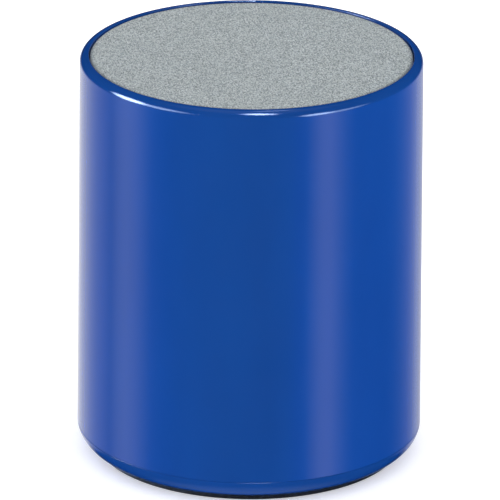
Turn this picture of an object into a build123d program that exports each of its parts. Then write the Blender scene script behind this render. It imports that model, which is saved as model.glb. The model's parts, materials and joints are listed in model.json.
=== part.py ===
from build123d import *
import math
import os

# Small upright portable loudspeaker: a drafted plastic tube with a cloth-covered grille in its top,
# a rounded base cap pushed into its lower end, and a soft ring foot under the cap.
# One driver fires upwards below the grille. A cell on a tray and a round circuit board fill the
# lower half. The charging socket, the power switch and the charge light look down into a round
# pocket in the base cap, inside the foot ring.
# Millimetres. Z is up, the origin is on the axis, in the plane that the foot stands on.

# ---- overall sizes
overall_height = 60.8
top_radius = 25.0  # outside of the tube at its upper end
draft_degrees = 0.35  # the tube widens downwards
wall = 1.6
rim_width = 1.35  # from the outside to the grille's bore
rim_flat = 0.05
lip_round = 0.15
gap = 0.05  # between faces that are glued, screwed or stacked
join = 0.3  # how far a post or rib runs into the wall that carries it
small_round = 0.3

# ---- foot and base cap
foot_height = 0.8  # how far the foot stands below the cap
foot_margin = 2.85  # foot's edge inside the tube's outside
foot_seat_depth = 0.5
foot_tape_thickness = 0.15
foot_tape_margin = 0.2
foot_round = 0.2
foot_clearance = 0.1
base_edge_height = 3.0  # height of the cap's rounded outside band
base_edge_round = 3.3
seam_round = 0.08
cap_floor = 1.8
pocket_radius = 12.5
pocket_border = 2.5  # from the pocket's edge to the foot's bore
pocket_height = 4.8  # pocket ceiling above the standing plane
pocket_ceiling = 1.4
pocket_wall = 1.5
pocket_edge_round = 0.5
spigot_height = 4.0  # above the seam
spigot_wall = 1.5
spigot_clearance = 0.1

# ---- screws, all self-tapping with pan heads
screw_clearance = 0.2
thread_clearance = 0.02
pilot_spare = 0.4  # pilot hole beyond the screw's tip
case_screw = {"shank": 1.0, "head": 1.75, "head_height": 1.2, "length": 8.0}
fine_screw = {"shank": 0.8, "head": 1.5, "head_height": 1.0, "length": 5.0}
head_cover = 0.15  # depth of a sunk head below its surface
boss_roof = 2.1  # cap boss above the screw head's seat
boss_wall = 0.9
case_post_radius = 2.3
case_post_height = 11.0
case_post_inset = 3.5  # post axis inside the tube's bore
case_post_angles = (90, 210, 330)

# ---- driver
seat_depth = 7.0  # driver shelf below the rim
shelf_thickness = 2.0
shelf_clearance = 0.5  # shelf's opening round the basket
driver_clearance = 0.9
gasket_thickness = 0.8
flange_width = 4.3
flange_thickness = 0.8
basket_wall = 0.7
basket_depth = 8.8  # flange face to basket floor
basket_lean = 4.3  # how much the bowl narrows from the flange to the spider's ledge
spider_ledge_height = 1.4
spider_ledge_width = 1.2
basket_floor_bore = 7.0
window_width = 12.0
window_height = 4.4
driver_screw_inset = 1.7  # screw axis inside the flange's edge
driver_screw_angles = (45, 135, 225, 315)
driver_post_radius = 2.0
driver_post_height = 3.8
front_plate_radius = 12.4
front_plate_thickness = 2.5
magnet_radius = 13.5
magnet_bore = 7.5
magnet_thickness = 5.0
back_plate_thickness = 2.2
coil_bore = 5.15  # inside of the coil former
former_wall = 0.15
coil_build = 0.42  # radial thickness of the winding
coil_length = 4.1
magnetic_gap = 0.35
former_length = 8.0
former_tail = 0.6  # former below the winding
former_stand = 0.9  # former above the cone's neck
bond = 0.03  # glue between the former and what it carries
cone_thickness = 0.45
cone_rim_width = 0.9
dust_cap_radius = 6.4
dust_cap_rise = 2.2
dust_cap_thickness = 0.3
roll_radius = 1.25
roll_overlap = 0.15  # roll's outer foot over the basket's mouth
surround_thickness = 0.35
surround_land = 0.75
spider_thickness = 0.25
spider_wave = 0.4
spider_waves = 3
spider_flat = 0.9
terminal_inset = 2.1  # tags' outer ends inside the flange's edge
terminal_tail = 2.0  # tags beyond their board
terminal_board_width = 8.4
terminal_board_thickness = 0.8
terminal_pitch = 5.2
tag_size = (4.4, 1.8, 0.3)
tinsel_radius = 0.2

# ---- grille
grille_recess = 0.16  # cloth below the rim
cloth_thickness = 0.45
hem_thickness = 0.3
hem_width = 1.8
cloth_clearance = 0.15
cloth_edge_round = 0.4
grille_plate_thickness = 0.8
grille_plate_margin = 2.5  # plate's edge without holes
grille_hole_radius = 1.0
grille_hole_pitch = 3.0
grille_rib_count = 8
grille_rib_width = 1.4
grille_rib_reach = 1.75  # ribs inside the grille's bore

# ---- circuit board and what it carries
board_clearance = 0.6  # board's edge inside the posts
board_thickness = 1.2
board_screw_inset = 2.35
board_screw_angles = (55, 125, 235, 305)
board_post_radius = 1.9
connector_inset = 4.6  # connectors' mouths inside the board's edge
connector_width = 6.0
connector_depth = 5.2
connector_height = 3.8
connector_wall = 0.6
connector_slot = 2.0
plug_clearance = 0.1
plug_overhang = 1.6
lead_radius = 0.5
lead_pitch = 2.2
lead_hole_clearance = 0.05
lead_hole_depth = 1.5
lead_drop_inset = 3.5  # where the leads run down, inside the tube's bore
lead_out = 1.75  # cell leads' first run, out of the cell's circuit
socket_y = -5.2
socket_width = 7.6
socket_thickness = 2.7
socket_corner = 0.85
socket_wall = 0.3
socket_recess = 0.2
socket_floor = 1.6
tongue_size = (3.9, 0.6)
tongue_recess = 1.0
contact_size = (0.3, 0.12, 2.9)
contact_pitch = 0.65
contact_count = 5
opening_clearance = 0.15
switch_y = 5.2
switch_travel = 2.0
switch_case = (8.6, 4.0, 3.6)
switch_lever_size = (2.0, 1.5)
switch_lever_room = 0.2  # round the lever in the switch's mouth
switch_lever_depth = 2.2  # lever inside the switch
switch_clearance = 0.35  # between the knob's cover and the switch
knob_length = 3.2
knob_width = 2.2
knob_drop = 1.5  # below the pocket ceiling
knob_cover = (8.8, 4.2, 0.5)
knob_groove = (0.35, 0.3)
knob_groove_pitch = 0.9
light_x = 8.5
light_radius = 1.0
light_flange = 0.6
light_flange_thickness = 0.8
light_clearance = 0.05
light_drop = 0.1  # light pipe below the pocket ceiling
charge_light_size = (2.0, 1.3, 0.8)

# ---- cell and its tray
parts_room = 7.1  # between the board and the tray
tray_thickness = 1.4
tray_clearance = 1.6  # tray's edge inside the tube's bore
tray_post_inset = 0.4  # tray legs inside the circle of the case posts
tray_post_radius = 1.9
tray_post_angles = (30, 150, 270)
tray_notch_width = 7.0
tray_notch_depth = 1.7  # notch inside the leads
tray_lip = (1.2, 1.8, 2.7)
tray_side_lip_length = 15.0
tray_lip_clearance = 0.2
cell_width = 25.0
cell_thickness = 6.0
cell_corner_clearance = 0.7  # cell's corners inside the tray's edge
cell_round = 1.6
cell_tape_size = (7.5, 20.0, 0.5)
cell_tape_reach = 11.5
cell_circuit = (2.4, 20.0, 3.6)

# ---- heights and radii worked out from the sizes above
seam_height = foot_height + base_edge_height
seam_radius = top_radius + (overall_height - seam_height) * math.tan(math.radians(draft_degrees))
cap_flat_radius = seam_radius - math.sqrt(base_edge_round**2 - (base_edge_round - base_edge_height) ** 2)
bore_radius = top_radius - wall
grille_bore = top_radius - rim_width
rim_round = rim_width - rim_flat - lip_round
foot_radius = seam_radius - foot_margin
foot_bore_radius = pocket_radius + pocket_border
foot_seat_height = foot_height + foot_seat_depth
cap_floor_top = foot_seat_height + cap_floor
pocket_top = pocket_height + pocket_ceiling
spigot_radius = bore_radius - spigot_clearance
case_head_seat = foot_seat_height + head_cover + case_screw["head_height"]
post_seat = case_head_seat + boss_roof
case_pilot_top = case_head_seat + case_screw["length"] + pilot_spare
post_circle = bore_radius - case_post_inset
tray_post_circle = post_circle - tray_post_inset

knob_cover_low = pocket_top + gap
board_height = knob_cover_low + knob_cover[2] + switch_clearance + switch_case[2]
board_top = board_height + board_thickness
board_radius = post_circle - case_post_radius - board_clearance
board_screw_circle = board_radius - board_screw_inset
connector_reach = board_radius - connector_inset
lead_plug_height = board_top + connector_height / 2
lead_drop_radius = bore_radius - lead_drop_inset

tray_height = board_top + parts_room
tray_top = tray_height + tray_thickness
tray_radius = bore_radius - tray_clearance
cell_length = 2 * math.sqrt((tray_radius - cell_corner_clearance) ** 2 - (cell_width / 2) ** 2)
cell_bottom = tray_top + cell_tape_size[2]
cell_circuit_end = cell_length / 2 + gap + cell_circuit[0]

shelf_top = overall_height - seat_depth
shelf_bottom = shelf_top - shelf_thickness
flange_bottom = shelf_top + gasket_thickness
flange_top = flange_bottom + flange_thickness
flange_radius = grille_bore - grille_rib_reach - driver_clearance
basket_mouth_radius = flange_radius - flange_width
basket_floor_top = flange_top - basket_depth
basket_floor_bottom = basket_floor_top - basket_wall
spider_ledge_top = basket_floor_top + spider_ledge_height
spider_ledge_radius = basket_mouth_radius - basket_lean
basket_floor_radius = spider_ledge_radius - spider_ledge_width
driver_opening = basket_mouth_radius + basket_wall + shelf_clearance
driver_screw_circle = flange_radius - driver_screw_inset
terminal_reach = flange_radius - terminal_inset
terminal_board_top = basket_floor_top + terminal_board_thickness
tag_top = terminal_board_top + tag_size[2]
front_plate_bottom = basket_floor_bottom - front_plate_thickness
magnet_bottom = front_plate_bottom - magnet_thickness
back_plate_bottom = magnet_bottom - back_plate_thickness
former_radius = coil_bore + former_wall
coil_radius = former_radius + bond + coil_build
gap_radius = coil_radius + magnetic_gap
pole_radius = coil_bore - magnetic_gap
coil_middle = front_plate_bottom + front_plate_thickness / 2
former_bottom = coil_middle - coil_length / 2 - former_tail
former_top = former_bottom + former_length
neck_radius = former_radius + bond
neck_height = former_top - former_stand
roll_middle = basket_mouth_radius - roll_radius + roll_overlap
cone_rim_radius = roll_middle - roll_radius - gap - cone_rim_width
cone_rim_low = flange_top - cone_thickness
cone_slope = (cone_rim_low - neck_height) / (cone_rim_radius - neck_radius - cone_thickness)

cloth_top = overall_height - grille_recess
cloth_radius = grille_bore - cloth_clearance
hem_low = cloth_top - cloth_thickness - grille_plate_thickness - hem_thickness
grille_plate_top = cloth_top - cloth_thickness
grille_plate_bottom = grille_plate_top - grille_plate_thickness
grille_plate_radius = cloth_radius - cloth_thickness
rib_top = hem_low - gap
rib_radius = grille_bore - grille_rib_reach


# ---- small makers
def lathe(*corners):
    """Body turned about Z. A corner is (radius, height) or (radius, height, round)."""
    points = [corner[:2] for corner in corners]
    rounds = [corner[2] if len(corner) > 2 else 0 for corner in corners]
    outline = FilletPolyline(*points, radius=rounds, close=True)
    return revolve(Plane.XZ * make_face(outline), Axis.Z)


def ring(inner, outer, low, high, edge=0):
    """Flat ring between two heights, with its outer edges rounded."""
    return lathe((inner, low), (outer, low, edge), (outer, high, edge), (inner, high))


def post(x, y, radius, low, high):
    """Upright round bar."""
    return Pos(x, y, low) * Cylinder(radius, high - low, align=(Align.CENTER, Align.CENTER, Align.MIN))


def block(x, y, low, size):
    """Upright box, centred on x and y, standing on a height."""
    return Pos(x, y, low) * Box(*size, align=(Align.CENTER, Align.CENTER, Align.MIN))


def polar(radius, degrees):
    """Plan position from a radius and an angle."""
    angle = math.radians(degrees)
    return radius * math.cos(angle), radius * math.sin(angle)


def spots(radius, angles):
    """Plan positions on a circle."""
    return [polar(radius, angle) for angle in angles]


def around(shape, angles):
    """The same shape, turned about Z to each angle."""
    return [Rot(0, 0, angle) * shape for angle in angles]


def joined(shapes):
    """One body from several that touch."""
    first, *rest = shapes
    return first + rest


def screw(x, y, seat, size, upwards=False):
    """Pan-head screw with a cross recess. Its head bears on the seat height."""
    head_radius, head_height = size["head"], size["head_height"]
    tip_radius = size["shank"] / 4
    head = lathe((0, 0), (head_radius, 0), (head_radius, head_height, head_height * 0.6), (0, head_height))
    shank = lathe(
        (0, 0),
        (size["shank"], 0),
        (size["shank"], size["shank"] - size["length"]),
        (tip_radius, -size["length"]),
        (0, -size["length"]),
    )
    arm = head_radius * 1.1
    slot = head_radius * 0.25
    depth = head_height * 0.6
    recess = [block(0, 0, head_height - depth, (*size_xy, depth)) for size_xy in ((arm, slot), (slot, arm))]
    turn = Rot(180, 0, 0) if upwards else Rot(0, 0, 0)
    return Pos(x, y, seat) * turn * (head + shank - recess)


def screws(places, seat, size, upwards=False):
    """Like screws at plan positions."""
    return Compound([screw(x, y, seat, size, upwards) for x, y in places])


def tube(points, radius, bend):
    """Round wire along straight runs joined by arcs."""
    path = FilletPolyline(*points, radius=bend)
    start = Plane(origin=path @ 0, z_dir=path % 0)
    return sweep(start * Circle(radius), path=path)


# ---- casing
def shell():
    """Tube with a rounded rim, a shelf for the driver, grille ribs and three screw posts."""
    tube_wall = lathe(
        (bore_radius, seam_height),
        (seam_radius, seam_height, seam_round),
        (top_radius, overall_height, rim_round),
        (grille_bore, overall_height, lip_round),
        (grille_bore, shelf_top),
        (driver_opening, shelf_top, small_round),
        (driver_opening, shelf_bottom),
        (bore_radius, shelf_bottom),
    )
    rib_length = grille_rib_reach + join
    rib_size = (rib_length, grille_rib_width, rib_top - shelf_top + join)
    rib = block(rib_radius + rib_length / 2, 0, shelf_top - join, rib_size)
    rib_angles = [(i + 0.5) * 360 / grille_rib_count for i in range(grille_rib_count)]
    case_post = post(post_circle, 0, case_post_radius, post_seat + gap, post_seat + case_post_height)
    web_length = case_post_inset + join
    web_size = (web_length, case_post_radius * 1.2, case_post_height - gap)
    web = block(post_circle + web_length / 2, 0, post_seat + gap, web_size)
    case_pilot = post(post_circle, 0, case_screw["shank"] + thread_clearance, post_seat, case_pilot_top)
    driver_post = post(
        driver_screw_circle, 0, driver_post_radius, shelf_bottom - driver_post_height, shelf_bottom + join
    )
    pilot_low = flange_top - fine_screw["length"] - pilot_spare
    driver_pilot = post(driver_screw_circle, 0, fine_screw["shank"] + thread_clearance, pilot_low, shelf_top)
    body = joined(
        [
            tube_wall,
            *around(rib, rib_angles),
            *around(case_post + web, case_post_angles),
            *around(driver_post, driver_screw_angles),
        ]
    )
    return body - around(case_pilot, case_post_angles) - around(driver_pilot, driver_screw_angles)


def charging_outline(grow):
    """Outline of the charging socket: a flat box with two cut corners."""
    half_width = socket_width / 2 + grow
    half_thickness = socket_thickness / 2 + grow
    corners = [
        (-half_width, half_thickness),
        (half_width, half_thickness),
        (half_width, -half_thickness + socket_corner),
        (half_width - socket_corner, -half_thickness),
        (socket_corner - half_width, -half_thickness),
        (-half_width, -half_thickness + socket_corner),
    ]
    return make_face(FilletPolyline(*corners, radius=small_round, close=True))


def cap_plate():
    """Cap without its holes: floor, rounded band, spigot and pocket wall."""
    outline = lathe(
        (0, foot_height),
        (seam_radius, foot_height),
        (seam_radius, seam_height, seam_round),
        (spigot_radius, seam_height),
        (spigot_radius, seam_height + spigot_height, small_round),
        (spigot_radius - spigot_wall, seam_height + spigot_height),
        (spigot_radius - spigot_wall, cap_floor_top),
        (pocket_radius + pocket_wall, cap_floor_top),
        (pocket_radius + pocket_wall, pocket_top),
        (0, pocket_top),
    )
    round_radius = cap_flat_radius + base_edge_round
    round_top = foot_height + base_edge_round + spigot_height
    round_band = lathe(
        (0, foot_height), (round_radius, foot_height, base_edge_round), (round_radius, round_top), (0, round_top)
    )
    return outline & round_band


def base_cap():
    """Base with the rounded band, a seat for the foot, the controls' pocket, a spigot and bosses."""
    below = foot_height - 1  # holes start clear of the cap's underside
    pocket = lathe(
        (0, below), (pocket_radius, below), (pocket_radius, pocket_height, pocket_edge_round), (0, pocket_height)
    )
    foot_seat = ring(foot_bore_radius - foot_clearance, foot_radius + foot_clearance, below, foot_seat_height)
    post_room = 2 * case_post_radius + 1
    spigot_gap = block(post_circle, 0, seam_height + gap, (3 * case_post_inset, post_room, spigot_height + 1))
    case_places = spots(post_circle, case_post_angles) + spots(tray_post_circle, tray_post_angles)
    board_places = spots(board_screw_circle, board_screw_angles)
    board_pilot_low = board_top - fine_screw["length"] - pilot_spare
    bosses, holes = [], []
    for x, y in case_places:
        bosses.append(post(x, y, case_screw["head"] + boss_wall, cap_floor_top - join, post_seat))
        holes.append(post(x, y, case_screw["head"] + screw_clearance, below, case_head_seat))
        holes.append(post(x, y, case_screw["shank"] + screw_clearance, below, post_seat + 1))
    for x, y in board_places:
        bosses.append(post(x, y, board_post_radius, cap_floor_top - join, board_height))
        holes.append(post(x, y, fine_screw["shank"] + thread_clearance, board_pilot_low, board_height + 1))
    through = pocket_ceiling + 2
    slot_length = knob_length + switch_travel + 2 * opening_clearance
    slot_width = knob_width + 2 * opening_clearance
    openings = [
        Pos(0, socket_y, pocket_height - 1) * extrude(charging_outline(opening_clearance), through),
        block(0, switch_y, pocket_height - 1, (slot_length, slot_width, through)),
        post(light_x, 0, light_radius + light_clearance, pocket_height - 1, pocket_top + 1),
    ]
    body = joined([cap_plate() - around(spigot_gap, case_post_angles), *bosses])
    return body - pocket - foot_seat - holes - openings


def foot_ring():
    """Soft ring that the speaker stands on."""
    top = foot_seat_height - foot_tape_thickness
    return lathe(
        (foot_bore_radius, 0, foot_round), (foot_radius, 0, foot_round), (foot_radius, top), (foot_bore_radius, top)
    )


def foot_tape():
    """Double-sided tape between the foot and the cap."""
    low = foot_seat_height - foot_tape_thickness
    return ring(foot_bore_radius + foot_tape_margin, foot_radius - foot_tape_margin, low, foot_seat_height)


def case_screws():
    """Six screws up through the cap, three into the tube's posts and three into the tray's legs."""
    places = spots(post_circle, case_post_angles) + spots(tray_post_circle, tray_post_angles)
    return screws(places, case_head_seat, case_screw, upwards=True)


# ---- grille
def grille_plate():
    """Stiff plate with a hexagonal field of sound holes."""
    plate = ring(0, grille_plate_radius, grille_plate_bottom, grille_plate_top, grille_plate_thickness / 4)
    field_radius = grille_plate_radius - grille_plate_margin - grille_hole_radius
    row_step = grille_hole_pitch * math.sin(math.radians(60))
    rows = int(field_radius / row_step)
    columns = int(field_radius / grille_hole_pitch) + 1
    places = []
    for row in range(-rows, rows + 1):
        shift = grille_hole_pitch / 2 if row % 2 else 0
        for column in range(-columns, columns + 1):
            x, y = column * grille_hole_pitch + shift, row * row_step
            if math.hypot(x, y) <= field_radius:
                places.append((x, y))
    holes = Sketch() + [Pos(x, y) * Circle(grille_hole_radius) for x, y in places]
    return plate - Pos(0, 0, grille_plate_bottom - 1) * extrude(holes, grille_plate_thickness + 2)


def grille_cloth():
    """Cloth pulled over the plate's face and edge, with its hem turned under."""
    hem_radius = grille_plate_radius - hem_width
    return lathe(
        (0, grille_plate_top),
        (grille_plate_radius, grille_plate_top),
        (grille_plate_radius, grille_plate_bottom),
        (hem_radius, grille_plate_bottom),
        (hem_radius, hem_low),
        (cloth_radius, hem_low, cloth_edge_round / 2),
        (cloth_radius, cloth_top, cloth_edge_round),
        (0, cloth_top),
    )


# ---- driver
def driver_gasket():
    """Foam ring under the driver's flange."""
    body = ring(driver_opening, flange_radius, shelf_top, flange_bottom)
    hole = post(driver_screw_circle, 0, fine_screw["shank"] + screw_clearance, shelf_top - 1, flange_bottom + 1)
    return body - around(hole, driver_screw_angles)


def driver_basket():
    """Pressed frame: flange, windowed bowl, ledge for the spider, floor and terminal tab."""
    lean = basket_lean / (flange_top - spider_ledge_top)
    shift = basket_wall * math.hypot(1, lean)
    outer_mouth = basket_mouth_radius + shift - lean * flange_thickness
    outer_foot = spider_ledge_radius + shift - lean * basket_wall
    bowl = lathe(
        (flange_radius, flange_bottom),
        (flange_radius, flange_top, small_round),
        (basket_mouth_radius, flange_top, small_round),
        (spider_ledge_radius, spider_ledge_top),
        (basket_floor_radius, spider_ledge_top, small_round / 2),
        (basket_floor_radius, basket_floor_top, small_round),
        (basket_floor_bore, basket_floor_top),
        (basket_floor_bore, basket_floor_bottom),
        (basket_floor_radius + basket_wall, basket_floor_bottom, small_round),
        (basket_floor_radius + basket_wall, spider_ledge_top - basket_wall),
        (outer_foot, spider_ledge_top - basket_wall, small_round / 2),
        (outer_mouth, flange_bottom, small_round),
    )
    window_low = (spider_ledge_top + flange_bottom - window_height) / 2
    window = block(basket_mouth_radius, 0, window_low, (3 * basket_lean, window_width, window_height))
    tab_length = terminal_reach - terminal_tail - basket_floor_radius
    tab_size = (tab_length, terminal_board_width + join, basket_wall)
    tab = block(basket_floor_radius + tab_length / 2, 0, basket_floor_bottom, tab_size)
    hole = post(driver_screw_circle, 0, fine_screw["shank"] + screw_clearance, flange_bottom - 1, flange_top + 1)
    return bowl - around(window, (0, 90, 180, 270)) - around(hole, driver_screw_angles) + tab


def front_plate():
    """Steel ring above the magnet."""
    return ring(gap_radius, front_plate_radius, front_plate_bottom, basket_floor_bottom, small_round)


def magnet():
    """Ferrite ring."""
    return ring(magnet_bore, magnet_radius, magnet_bottom, front_plate_bottom, 2 * small_round)


def back_plate():
    """Steel back plate with its centre pole."""
    return lathe(
        (0, back_plate_bottom),
        (front_plate_radius, back_plate_bottom, 2 * small_round),
        (front_plate_radius, magnet_bottom),
        (pole_radius, magnet_bottom, small_round),
        (pole_radius, basket_floor_bottom, small_round),
        (0, basket_floor_bottom),
    )


def coil_former():
    """Thin tube that carries the winding."""
    return ring(coil_bore, former_radius, former_bottom, former_top)


def voice_coil():
    """Copper winding in the magnet's gap."""
    low = coil_middle - coil_length / 2
    return ring(former_radius + bond, coil_radius, low, low + coil_length, coil_build / 4)


def cone():
    """Paper cone with a flat rim and a neck."""
    return lathe(
        (neck_radius, neck_height),
        (neck_radius + cone_thickness, neck_height),
        (cone_rim_radius, cone_rim_low),
        (cone_rim_radius + cone_rim_width, cone_rim_low),
        (cone_rim_radius + cone_rim_width, flange_top),
        (cone_rim_radius - cone_thickness / 2, flange_top),
        (neck_radius, cone_face_height(neck_radius)),
    )


def cone_face_height(radius):
    """Height of the cone's upper face at a radius."""
    return flange_top - cone_slope * (cone_rim_radius - cone_thickness / 2 - radius)


def cone_back_height(radius):
    """Height of the cone's underside at a radius."""
    return neck_height + cone_slope * (radius - neck_radius - cone_thickness)


def dust_cap():
    """Domed cap over the coil."""
    sphere = (dust_cap_radius**2 + dust_cap_rise**2) / (2 * dust_cap_rise)
    base = cone_face_height(dust_cap_radius) + gap
    dome = Sphere(sphere) - Sphere(sphere - dust_cap_thickness)
    slab = block(0, 0, sphere - dust_cap_rise, (4 * sphere, 4 * sphere, 2 * sphere))
    return Pos(0, 0, base - sphere + dust_cap_rise) * (dome & slab)


def surround():
    """Rubber half-roll between the cone's rim and the flange."""
    half = surround_thickness / 2
    roll = Circle(roll_radius + half) - Circle(roll_radius - half)
    above = Pos(0, roll_radius) * Rectangle(4 * roll_radius, 2 * roll_radius)
    land = Rectangle(surround_land + surround_thickness, surround_thickness)
    reach = roll_radius + surround_land / 2
    section = (roll & above) + Pos(reach, half) * land + Pos(-reach, half) * land
    return revolve(Plane.XZ * Pos(roll_middle, flange_top) * section, Axis.Z)


def spider():
    """Corrugated disc that centres the coil."""
    outer = spider_ledge_radius - 2 * bond
    wave_start = neck_radius + spider_flat
    wave_width = basket_floor_radius - 2 * bond - wave_start
    steps = spider_waves * 8
    low, high = spider_ledge_top, spider_ledge_top + spider_thickness
    under, over = [], []
    for i in range(steps + 1):
        share = i / steps
        height = low + spider_wave * math.sin(share * spider_waves * 2 * math.pi)
        under.append((wave_start + wave_width * share, height))
        over.append((wave_start + wave_width * share, height + spider_thickness))
    edges = [
        Line((neck_radius, low), under[0]),
        Spline(*under),
        Line(under[-1], (outer, low)),
        Line((outer, low), (outer, high)),
        Line((outer, high), over[-1]),
        Spline(*over),
        Line(over[0], (neck_radius, high)),
        Line((neck_radius, high), (neck_radius, low)),
    ]
    return revolve(Plane.XZ * make_face(Curve() + edges), Axis.Z)


def terminal_board():
    """Board on the basket's tab."""
    inner = spider_ledge_radius + 2 * basket_wall
    length = terminal_reach - terminal_tail - inner
    size = (length, terminal_board_width, terminal_board_thickness)
    return block(inner + length / 2, 0, basket_floor_top, size)


def terminal_tags():
    """Two solder tags riveted to the board."""
    length, width, thickness = tag_size
    rivet_x = terminal_reach - length + width / 2
    eye_x = terminal_reach - width / 2
    tags = []
    for y in (-terminal_pitch / 2, terminal_pitch / 2):
        tag = block(terminal_reach - length / 2, y, terminal_board_top, tag_size)
        rivet = post(rivet_x, y, width / 3, tag_top, tag_top + thickness)
        eye = post(eye_x, y, width / 5, terminal_board_top - 1, tag_top + 1)
        tags.append(tag + rivet - eye)
    return Compound(tags)


def tinsel_leads():
    """Two limp braided leads from the tags, through a window, to the cone's back."""
    start = terminal_reach - tag_size[0] / 2
    end = cone_rim_radius - 3.4
    entry = end + 2.4
    rise = spider_ledge_top + 3.0
    leads = []
    for y in (-terminal_pitch / 2, terminal_pitch / 2):
        touch = cone_back_height(math.hypot(end, y)) - tinsel_radius - gap
        points = [(start, y, tag_top), (start, y, rise), (entry, y, rise - 0.8), (end, y, touch)]
        leads.append(tube(points, tinsel_radius, 0.9))
    return Compound(leads)


# ---- circuit board
def main_board():
    """Round board with screw holes."""
    body = ring(0, board_radius, board_height, board_top)
    hole = post(board_screw_circle, 0, fine_screw["shank"] + screw_clearance, board_height - 1, board_top + 1)
    return body - around(hole, board_screw_angles)


def radio_chip():
    """Flat square package with a dimple at pin one."""
    x, y, width, height = 3.0, 6.6, 5.0, 0.9
    dimple = post(x - width / 3, y + width / 3, width / 16, board_top + height * 0.9, board_top + height + 1)
    return block(x, y, board_top, (width, width, height)) - dimple


def gull_wings(x, y, width, pitch, rows):
    """Bent legs along a package's two long sides."""
    leg, sheet, toe = 0.4, 0.2, 0.8
    legs = []
    for side in (-1, 1):
        for i in range(rows):
            leg_x = x + (i - (rows - 1) / 2) * pitch
            edge = y + side * width / 2
            legs.append(block(leg_x, edge + side * sheet, board_top + sheet, (leg, 3 * sheet, 2 * sheet)))
            legs.append(block(leg_x, edge + side * (sheet + toe / 2), board_top, (leg, toe, sheet)))
    return legs


def amplifier_chip():
    """Package with four gull-wing legs a side."""
    x, y, length, width = 2.2, -7.4, 4.9, 3.9
    body = block(x, y, board_top + 0.15, (length, width, 1.4))
    return joined([body, *gull_wings(x, y, width, 1.27, 4)])


def charger_chip():
    """Small package with three gull-wing legs a side."""
    x, y, length, width = -9.2, 6.6, 2.9, 1.6
    body = block(x, y, board_top + 0.15, (length, width, 1.1))
    return joined([body, *gull_wings(x, y, width, 0.95, 3)])


def crystal():
    """Metal can that sets the radio's clock."""
    return fillet(block(-3.2, 6.8, board_top, (3.2, 2.5, 0.8)).edges().filter_by(Axis.Z), small_round)


def inductor():
    """Wound drum of the charging converter."""
    x, y, radius, height, flange = -3.9, -6.9, 2.2, 3.0, 0.7
    waist = ring(radius * 0.7, radius + 1, board_top + flange, board_top + height - flange)
    return post(x, y, radius, board_top, board_top + height) - Pos(x, y, 0) * waist


def reservoir_capacitors():
    """Two upright electrolytic cans on their square bases."""
    radius, base, height = 2.5, 0.7, 5.4
    cans = []
    for x in (-9.0, 9.0):
        can = lathe((0, base), (radius, base), (radius, height, small_round), (0, height))
        groove = ring(radius * 0.92, radius + 1, base + 0.8, base + 1.2)
        foot = block(0, 0, 0, (2.1 * radius, 2.1 * radius, base))
        cans.append(Pos(x, -6.0, board_top) * (foot + can - groove))
    return Compound(cans)


def chip_parts():
    """Small resistors and capacitors in two rows."""
    size, pitch = (1.6, 0.8, 0.5), 2.3
    row = [block(-6.0 + i * pitch, 1.9, board_top, size) for i in range(6)]
    row += [block(-5.2 + i * pitch, -2.2, board_top, size) for i in range(5)]
    return Compound(row)


def antenna_trace():
    """Copper meander printed at the board's edge."""
    pitch, reach, line, thickness, runs = 1.3, 2.6, 0.35, 0.06, 8
    y = board_radius - 2 * reach + 0.4
    strips = []
    for i in range(runs):
        x = (i - (runs - 1) / 2) * pitch
        strips.append(block(x, y, board_top, (line, reach + line, thickness)))
        if i < runs - 1:
            end = y + (reach / 2 if i % 2 else -reach / 2)
            strips.append(block(x + pitch / 2, end, board_top, (pitch, line, thickness)))
    return joined(strips)


def board_connector(side):
    """Open-mouthed wire connector on the board, facing outwards."""
    x = side * (connector_reach - connector_depth / 2)
    inner_width = connector_width - 2 * connector_wall
    inner_height = connector_height - 2 * connector_wall
    body = block(x, 0, board_top, (connector_depth, connector_width, connector_height))
    mouth_x = x + side * connector_wall
    mouth = block(mouth_x, 0, board_top + connector_wall, (connector_depth, inner_width, inner_height))
    slot_x = x + side * 2 * connector_wall
    slot_size = (connector_depth, connector_slot, connector_height)
    return body - mouth - block(slot_x, 0, lead_plug_height, slot_size)


def lead_plug(side):
    """Plug pushed into the board connector, with a hole for each lead."""
    inset = connector_wall + plug_clearance
    length = connector_depth - inset + plug_overhang
    end = side * (connector_reach + plug_overhang)
    size = (length, connector_width - 2 * inset, connector_height - 2 * inset)
    body = block(end - side * length / 2, 0, board_top + inset, size)
    hole = Rot(0, 90, 0) * Cylinder(lead_radius + lead_hole_clearance, 2 * lead_hole_depth)
    return body - [Pos(end, y, lead_plug_height) * hole for y in (-lead_pitch / 2, lead_pitch / 2)]


def charging_socket():
    """Folded steel sleeve of the charging socket, open downwards."""
    low = pocket_height + socket_recess
    sleeve = charging_outline(0) - charging_outline(-socket_wall)
    return Pos(0, socket_y, low) * extrude(sleeve, board_height - low)


def socket_tongue():
    """Insulator block and contact tongue inside the sleeve."""
    core = Pos(0, 0, board_height - socket_floor) * extrude(charging_outline(-socket_wall - bond), socket_floor)
    low = pocket_height + tongue_recess
    tongue = block(0, 0, low, (*tongue_size, board_height - low))
    return Pos(0, socket_y, 0) * (core + tongue)


def socket_contacts():
    """Contact strips on the tongue."""
    width, thickness, length = contact_size
    y = socket_y - tongue_size[1] / 2 - thickness / 2
    low = board_height - socket_floor - bond - length
    first = -(contact_count - 1) / 2
    return Compound([block((first + i) * contact_pitch, y, low, contact_size) for i in range(contact_count)])


def switch_body():
    """Metal-cased slide switch under the board, slotted for its lever."""
    low = board_height - switch_case[2]
    case = fillet(block(0, switch_y, low, switch_case).edges().filter_by(Axis.Z), small_round)
    room = 2 * switch_lever_room
    lever_length, lever_width = switch_lever_size
    depth = switch_lever_depth + switch_lever_room
    hollow = block(0, switch_y, low - 1, (switch_travel + lever_length + room, lever_width + room, depth + 1))
    return case - hollow


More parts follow.
